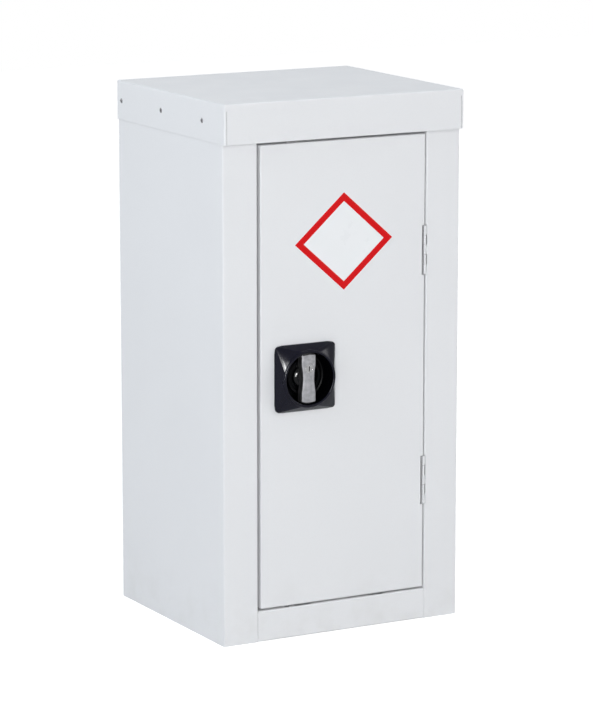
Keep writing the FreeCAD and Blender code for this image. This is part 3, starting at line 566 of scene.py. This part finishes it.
def lock_bezel(outside, inside):
    """Black housing: a square edge, four flats and four corner fans up to the rim, bowl and collar."""
    low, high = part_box("lock_housing")
    centre = middle_of(low, high)
    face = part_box("door_panel")[0].y
    reach = face - low.y
    facets = Facets((high.x - low.x) / 2, reach - RIM_DROP)
    turns = facets.turns()
    floor = low.y + BOWL_DEPTH
    back = high.y
    collar = floor - COLLAR_HEIGHT

    def circle(radius, y):
        """Round ring at one depth."""
        return all_round(centre, turns, lambda turn: (radius * math.cos(turn), y, radius * math.sin(turn)))

    def edge(distance, drop):
        """Ring on the square moved in by a distance, so much behind the facets."""
        def place(turn):
            x, z = facets.edge_place(turn, distance)
            return x, face - facets.height(turn, x, z) + drop, z
        return all_round(centre, turns, place)

    def foot(turn):
        """Place where the facets meet the rim."""
        x = RIM_RADIUS * math.cos(turn)
        z = RIM_RADIUS * math.sin(turn)
        return x, face - facets.height(turn, x, z), z

    def square(turn):
        """Place where the square edge stands on the door."""
        x, z = facets.edge_place(turn, 0)
        return x, face, z

    def notches(y):
        """The collar's bore with room on four sides for the plug's tongue as it turns out."""
        def place(turn):
            off = min(turn, math.pi / 2 - turn)
            side = TONGUE_OFFSET * math.sin(off)
            radius = COLLAR_BORE + NOTCH_CLEAR
            if side < TONGUE_REACH:
                tip = TONGUE_OFFSET * math.cos(off) + math.sqrt(TONGUE_REACH ** 2 - side ** 2)
                radius = max(radius, tip)
            return radius * math.cos(turn), y, radius * math.sin(turn)
        return all_round(centre, turns, place)

    def bead(radius, size, share):
        """Ring of the quarter round from a wall to the front, beyond the wall where size is below 0."""
        tilt = math.pi / 2 * share
        return circle(radius - size * (1 - math.cos(tilt)), low.y + abs(size) * (1 - math.sin(tilt)))

    outer_rings = [
        circle(JOURNAL_BORE, floor),
        circle(JOURNAL_BORE, back),
        circle(SPIGOT_RADIUS - SPIGOT_ROUND, back),
        circle(SPIGOT_RADIUS, back - SPIGOT_ROUND),
        circle(SPIGOT_RADIUS, face),
        all_round(centre, turns, square),
        edge(0, LOCK_EDGE_ROUND),
        edge(ROUND_SHARE * LOCK_EDGE_ROUND, LOCK_EDGE_SHARE * LOCK_EDGE_ROUND),
        edge(LOCK_EDGE_ROUND, 0),
        all_round(centre, turns, foot),
        *[bead(RIM_RADIUS, RIM_ROUND, share) for share in BEAD_SHARES],
        *[bead(LIP_RADIUS, -LIP_ROUND, share) for share in reversed(BEAD_SHARES)],
    ]
    # The bowl and collar get the second material, the moulding's darker copy as painted shade
    inner_rings = [
        circle(BOWL_BACK_RADIUS, floor - BOWL_FILLET),
        circle(BOWL_BACK_RADIUS - ROUND_SHARE * BOWL_FILLET, floor - ROUND_SHARE * BOWL_FILLET),
        circle(BOWL_BACK_RADIUS - BOWL_FILLET, floor),
        circle(COLLAR_RADIUS, floor),
        circle(COLLAR_RADIUS, collar + COLLAR_ROUND),
        circle(COLLAR_RADIUS - COLLAR_ROUND, collar),
        circle(COLLAR_BORE + COLLAR_ROUND, collar),
        circle(COLLAR_BORE, collar + COLLAR_ROUND),
        circle(COLLAR_BORE, collar + NOTCH_DROP),
        notches(collar + NOTCH_DROP),
        notches(collar + NOTCH_DROP + NOTCH_DEPTH),
        circle(COLLAR_BORE, collar + NOTCH_DROP + NOTCH_DEPTH),
        circle(COLLAR_BORE, floor),
        circle(JOURNAL_BORE, floor),
    ]
    piece = mesh_object(
        "lock_bezel", outer_rings + inner_rings, [outside, inside],
        capped=False, sharp_angle=LOCK_SHARP_ANGLE, second_from=len(outer_rings) - 1,
    )
    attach(piece, "door")
    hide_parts("lock_housing")


def hub_boss(outside, inside):
    """Round boss behind the bar, on a thin disc with the journal at its back."""
    low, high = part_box("handle_hub")
    centre = middle_of(low, high)
    front = low.y
    disc = front + HUB_BOSS_HEIGHT
    back = front + HUB_DEPTH
    chamfer = front + HUB_CHAMFER_DEPTH
    fall = HUB_CHAMFER_DEPTH / (HUB_BOSS_RADIUS - HUB_FACE_RADIUS)
    boss = [
        (HUB_CAP_RADIUS, front),
        (HUB_FACE_RADIUS - HUB_EDGE, front),
        (HUB_FACE_RADIUS, front + HUB_FACE_SHARE * fall * HUB_EDGE),
        (HUB_FACE_RADIUS + HUB_EDGE, front + fall * HUB_EDGE),
        (HUB_BOSS_RADIUS - HUB_EDGE, chamfer - fall * HUB_EDGE),
        (HUB_BOSS_RADIUS - ROUND_SHARE * HUB_EDGE, chamfer + HUB_SIDE_SHARE * HUB_EDGE),
        (HUB_BOSS_RADIUS, chamfer + HUB_EDGE),
    ]
    behind = [
        (HUB_BOSS_RADIUS, disc),
        (HUB_RADIUS - HUB_DISC_ROUND, disc),
        (HUB_RADIUS - ROUND_SHARE * HUB_DISC_ROUND, disc + ROUND_SHARE * HUB_DISC_ROUND),
        (HUB_RADIUS, disc + HUB_DISC_ROUND),
        (HUB_RADIUS, back),
        (JOURNAL_RADIUS, back),
        (JOURNAL_RADIUS, high.y),
        (HUB_CAP_RADIUS, high.y),
    ]
    # The boss gets the first material and the disc the second: both are darker copies of the moulding, as
    # painted shade
    rings = [circle_points(*centre, radius, y, HUB_STEPS) for radius, y in boss + behind]
    piece = mesh_object("hub_boss", rings, [outside, inside], second_from=len(boss) - 1)
    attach(piece, "handle")
    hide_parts("handle_hub")


def rounded_corner(before, corner, after):
    """Points of a soft curve that replaces a corner."""
    points = []
    for i in range(GRIP_STEPS + 1):
        t = i / GRIP_STEPS
        x = before[0] * (1 - t) ** 2 + corner[0] * 2 * t * (1 - t) + after[0] * t ** 2
        z = before[1] * (1 - t) ** 2 + corner[1] * 2 * t * (1 - t) + after[1] * t ** 2
        points.append((x, z))
    return points


def grip_outline(rise):
    """Bar's outline from its middle: round ends, straight sides and a hollow waist."""
    side = GRIP_WIDTH / 2
    waist = GRIP_WAIST / 2
    bow = GRIP_WAIST_LENGTH / 2
    hollow = (bow ** 2 + (side - waist) ** 2) / (2 * (side - waist))

    def half_width(z):
        """Half the bar's width at a height within the waist."""
        return waist + hollow - math.sqrt(hollow ** 2 - z ** 2)

    end = bow - GRIP_BLEND_CUT
    quarter = []
    for i in range(GRIP_STEPS):
        z = end * i / GRIP_STEPS
        quarter.append((half_width(z), z))
    quarter += rounded_corner((half_width(end), end), (side, bow), (side, bow + GRIP_BLEND_CUT))
    shoulder = math.sqrt(rise ** 2 - side ** 2)
    start = math.atan2(shoulder, side) + GRIP_CORNER_CUT / rise
    arc_start = (rise * math.cos(start), rise * math.sin(start))
    quarter += rounded_corner((side, shoulder - GRIP_CORNER_CUT), (side, shoulder), arc_start)
    for i in range(1, GRIP_STEPS + 1):
        turn = start + (math.pi / 2 - start) * i / GRIP_STEPS
        quarter.append((rise * math.cos(turn), rise * math.sin(turn)))
    top = quarter + [(-x, z) for x, z in reversed(quarter[:-1])]
    return top + [(-x, -z) for x, z in top[1:-1]]


def inset(outline, distance):
    """The outline moved inwards by a distance."""
    count = len(outline)
    moved = []
    for i, (x, z) in enumerate(outline):
        px, pz = outline[i - 1]
        nx, nz = outline[(i + 1) % count]
        before = Vector((x - px, z - pz)).normalized()
        after = Vector((nx - x, nz - z)).normalized()
        across = Vector((-before.y - after.y, before.x + after.x))
        across = across * (2 / across.length_squared)
        moved.append((x + across.x * distance, z + across.y * distance))
    return moved


def handle_bar(material):
    """Waisted satin bar with bevelled edges and the hole for the lock cylinder."""
    low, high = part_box("handle_grip")
    cx, cz = middle_of(low, high)
    rise = (high.z - low.z) / 2
    outline = grip_outline(rise)
    front = low.y
    layers = [
        (0.0, high.y),
        (0.0, front + GRIP_BEVEL + GRIP_EDGE),
        (ROUND_SHARE * GRIP_EDGE, front + GRIP_BEVEL),
        (GRIP_BEVEL - ROUND_SHARE * GRIP_EDGE, front + GRIP_EDGE),
        (GRIP_BEVEL + ROUND_SHARE * GRIP_EDGE, front + GRIP_FACE_SHARE * GRIP_EDGE),
        (GRIP_BEVEL + GRIP_EDGE, front),
    ]
    mesh = bmesh.new()
    loops = []
    for distance, y in layers:
        points = inset(outline, distance) if distance > 0 else outline
        loops.append([mesh.verts.new((cx + x, y, cz + z)) for x, z in points])
    cylinder = middle_of(*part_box("key_cylinder"))
    hole = []
    for y in (front, high.y):
        points = circle_points(*cylinder, CYLINDER_HOLE, y, CYLINDER_STEPS)
        hole.append([mesh.verts.new(point) for point in points])
    for near, far in [*zip(loops, loops[1:]), hole]:
        bridge(mesh, near, far)
    for outer, ring in ((loops[-1], hole[0]), (loops[0], hole[1])):
        edges = []
        for loop in (outer, ring):
            for i in range(len(loop)):
                pair = (loop[i], loop[(i + 1) % len(loop)])
                edges.append(mesh.edges.get(pair) or mesh.edges.new(pair))
        bmesh.ops.triangle_fill(mesh, use_beauty=True, edges=edges)
    piece = finished("handle_bar", mesh, [material])
    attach(piece, "handle")
    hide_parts("handle_grip")


def rounded_outline(points, radius, steps):
    """Closed outline in X and Z with each corner rounded."""
    outline = []
    for i, corner in enumerate(points):
        corner = Vector(corner)
        before = (Vector(points[i - 1]) - corner).normalized()
        after = (Vector(points[(i + 1) % len(points)]) - corner).normalized()
        half_angle = before.angle(after) / 2
        centre = corner + (before + after).normalized() * (radius / math.sin(half_angle))
        start = corner + before * (radius / math.tan(half_angle)) - centre
        end = corner + after * (radius / math.tan(half_angle)) - centre
        first = math.atan2(start.y, start.x)
        sweep = math.remainder(math.atan2(end.y, end.x) - first, 2 * math.pi)
        for k in range(steps + 1):
            angle = first + sweep * k / steps
            outline.append((centre.x + radius * math.cos(angle), centre.y + radius * math.sin(angle)))
    return outline


def door_label(white, red):
    """Blank diamond sticker: white vinyl with a plain red band inside its edge."""
    low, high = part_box("blank_label")
    cx, cz = middle_of(low, high)
    half = (high.x - low.x) / 2
    rise = (high.z - low.z) / 2
    height = half * rise / math.hypot(half, rise)
    front = low.y
    back = high.y
    layers = [
        (0.0, back),
        (0.0, front + LABEL_EDGE),
        (LABEL_EDGE, front),
        (LABEL_MARGIN, front),
        (LABEL_MARGIN + LABEL_BAND, front),
    ]
    rings = []
    for distance, y in layers:
        share = 1 - distance / height
        points = [(half * share, 0), (0, rise * share), (-half * share, 0), (0, -rise * share)]
        outline = rounded_outline(points, LABEL_CORNER * share, LABEL_CORNER_STEPS)
        rings.append([(cx + x, y, cz + z) for x, z in outline])
    piece = mesh_object("door_label", rings, [white, red])
    inner = 1 - (LABEL_MARGIN + LABEL_BAND) / height
    outer = 1 - LABEL_MARGIN / height
    for face in piece.data.polygons:
        flat = face.normal.y < FRONT_NORMAL
        across = abs(face.center.x - cx) / half + abs(face.center.z - cz) / rise
        if flat and inner < across < outer:
            face.material_index = 1
    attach(piece, "door")
    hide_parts("blank_label")


def dress_nodes(materials):
    """Give every CAD node the material of its slot in the record."""
    for part in frame["record"]["subparts"]:
        node = nodes[part["node"]]
        node.data.materials.clear()
        node.data.materials.append(materials[part["material_slot"]])


def add_camera():
    """Camera at the photograph's viewpoint."""
    data = bpy.data.cameras.new("camera")
    data.lens = CAMERA_LENS
    camera = bpy.data.objects.new("camera", data)
    camera.location = CAMERA_PLACE
    camera.rotation_euler = (math.radians(90 - CAMERA_PITCH), 0, math.radians(-CAMERA_YAW))
    bpy.context.scene.collection.objects.link(camera)
    bpy.context.scene.camera = camera


def add_lamps():
    """Softboxes, all aimed at the cabinet and out of the picture."""
    for name, lamp in {**LAMPS, **GLOSS_LAMPS}.items():
        data = bpy.data.lights.new(name, "AREA")
        data.shape = "RECTANGLE"
        data.size = lamp["width"]
        data.size_y = lamp["height"]
        data.energy = lamp["power"]
        data.color = LAMP_COLOURS.get(name, (1, 1, 1))
        light = bpy.data.objects.new(name, data)
        light.location = lamp["place"]
        aim = Vector(LAMP_AIM) - Vector(lamp["place"])
        light.rotation_euler = aim.to_track_quat("-Z", "Y").to_euler()
        light.visible_camera = False
        light.visible_diffuse = name in LAMPS
        bpy.context.scene.collection.objects.link(light)


def seen_directly(tree):
    """1 where the camera, a mirror or a glass looks at it, and 0 for the light that it sheds."""
    path = tree.nodes.new("ShaderNodeLightPath")
    first = tree.nodes.new("ShaderNodeMath")
    first.operation = "MAXIMUM"
    second = tree.nodes.new("ShaderNodeMath")
    second.operation = "MAXIMUM"
    tree.links.new(path.outputs["Is Camera Ray"], first.inputs[0])
    tree.links.new(path.outputs["Is Glossy Ray"], first.inputs[1])
    tree.links.new(first.outputs["Value"], second.inputs[0])
    tree.links.new(path.outputs["Is Transmission Ray"], second.inputs[1])
    return second.outputs["Value"]


def add_world():
    """Soft ambient light that looks plain white to the camera."""
    world = bpy.data.worlds.new("studio")
    bpy.context.scene.world = world
    world.use_nodes = True
    tree = world.node_tree
    ambient = tree.nodes["Background"]
    ambient.inputs["Color"].default_value = (*AMBIENT_COLOUR, 1)
    ambient.inputs["Strength"].default_value = AMBIENT_STRENGTH
    white = tree.nodes.new("ShaderNodeBackground")
    white.inputs["Color"].default_value = (1, 1, 1, 1)
    white.inputs["Strength"].default_value = 1.0
    mix = tree.nodes.new("ShaderNodeMixShader")
    tree.links.new(seen_directly(tree), mix.inputs["Fac"])
    tree.links.new(ambient.outputs["Background"], mix.inputs[1])
    tree.links.new(white.outputs["Background"], mix.inputs[2])
    tree.links.new(mix.outputs["Shader"], tree.nodes["World Output"].inputs["Surface"])


def add_floor():
    """Pale floor, lifted to white for the camera, with the cabinet's soft shadow on it."""
    half = FLOOR_SIZE / 2
    data = bpy.data.meshes.new("floor")
    corners = [(-half, -half, 0), (half, -half, 0), (half, half, 0), (-half, half, 0)]
    data.from_pydata(corners, [], [(0, 1, 2, 3)])
    floor = bpy.data.objects.new("floor", data)
    bpy.context.scene.collection.objects.link(floor)
    material = bpy.data.materials.new("floor")
    material.use_nodes = True
    tree = material.node_tree
    shader = tree.nodes["Principled BSDF"]
    shader.inputs["Base Color"].default_value = (*FLOOR_COLOUR, 1)
    shader.inputs["Roughness"].default_value = FLOOR_ROUGHNESS
    shader.inputs["Specular IOR Level"].default_value = FLOOR_SPECULAR
    shader.inputs["Emission Color"].default_value = (1, 1, 1, 1)
    lift = tree.nodes.new("ShaderNodeMath")
    lift.operation = "MULTIPLY"
    lift.inputs[1].default_value = FLOOR_LIFT
    tree.links.new(seen_directly(tree), lift.inputs[0])
    tree.links.new(lift.outputs["Value"], shader.inputs["Emission Strength"])
    data.materials.append(material)


def main():
    """Stage, materials and the four finer pieces."""
    add_camera()
    add_lamps()
    add_world()
    add_floor()
    materials = {
        "white_enamel": white_enamel("white_enamel", False),
        "zinc_plate": zinc_plate(),
        "rivet_aluminium": rivet_aluminium(),
        "black_rubber": black_rubber(),
        "black_plastic": black_plastic(),
        "satin_zinc": satin_zinc(),
        "nickel": nickel(),
        "label_vinyl": label_white(),
    }
    dress_nodes(materials)
    # Enamel with shade painted into its corners, for the lid and the door's hinge leaves
    shaded_enamel = white_enamel("enamel_painted_shade", True)
    for name in PAINTED_SHADE_NODES:
        nodes[name].data.materials[0] = shaded_enamel
    # The moulding's darker copy: painted shade inside the bowl
    inside = black_inside_painted_shade()
    lock_bezel(materials["black_plastic"], inside)
    hub_boss(black_polished_painted_shade(), inside)
    handle_bar(materials["satin_zinc"])
    door_label(materials["label_vinyl"], label_red())
    bpy.context.scene.view_settings.view_transform = "Standard"
    bpy.context.view_layer.update()


main()
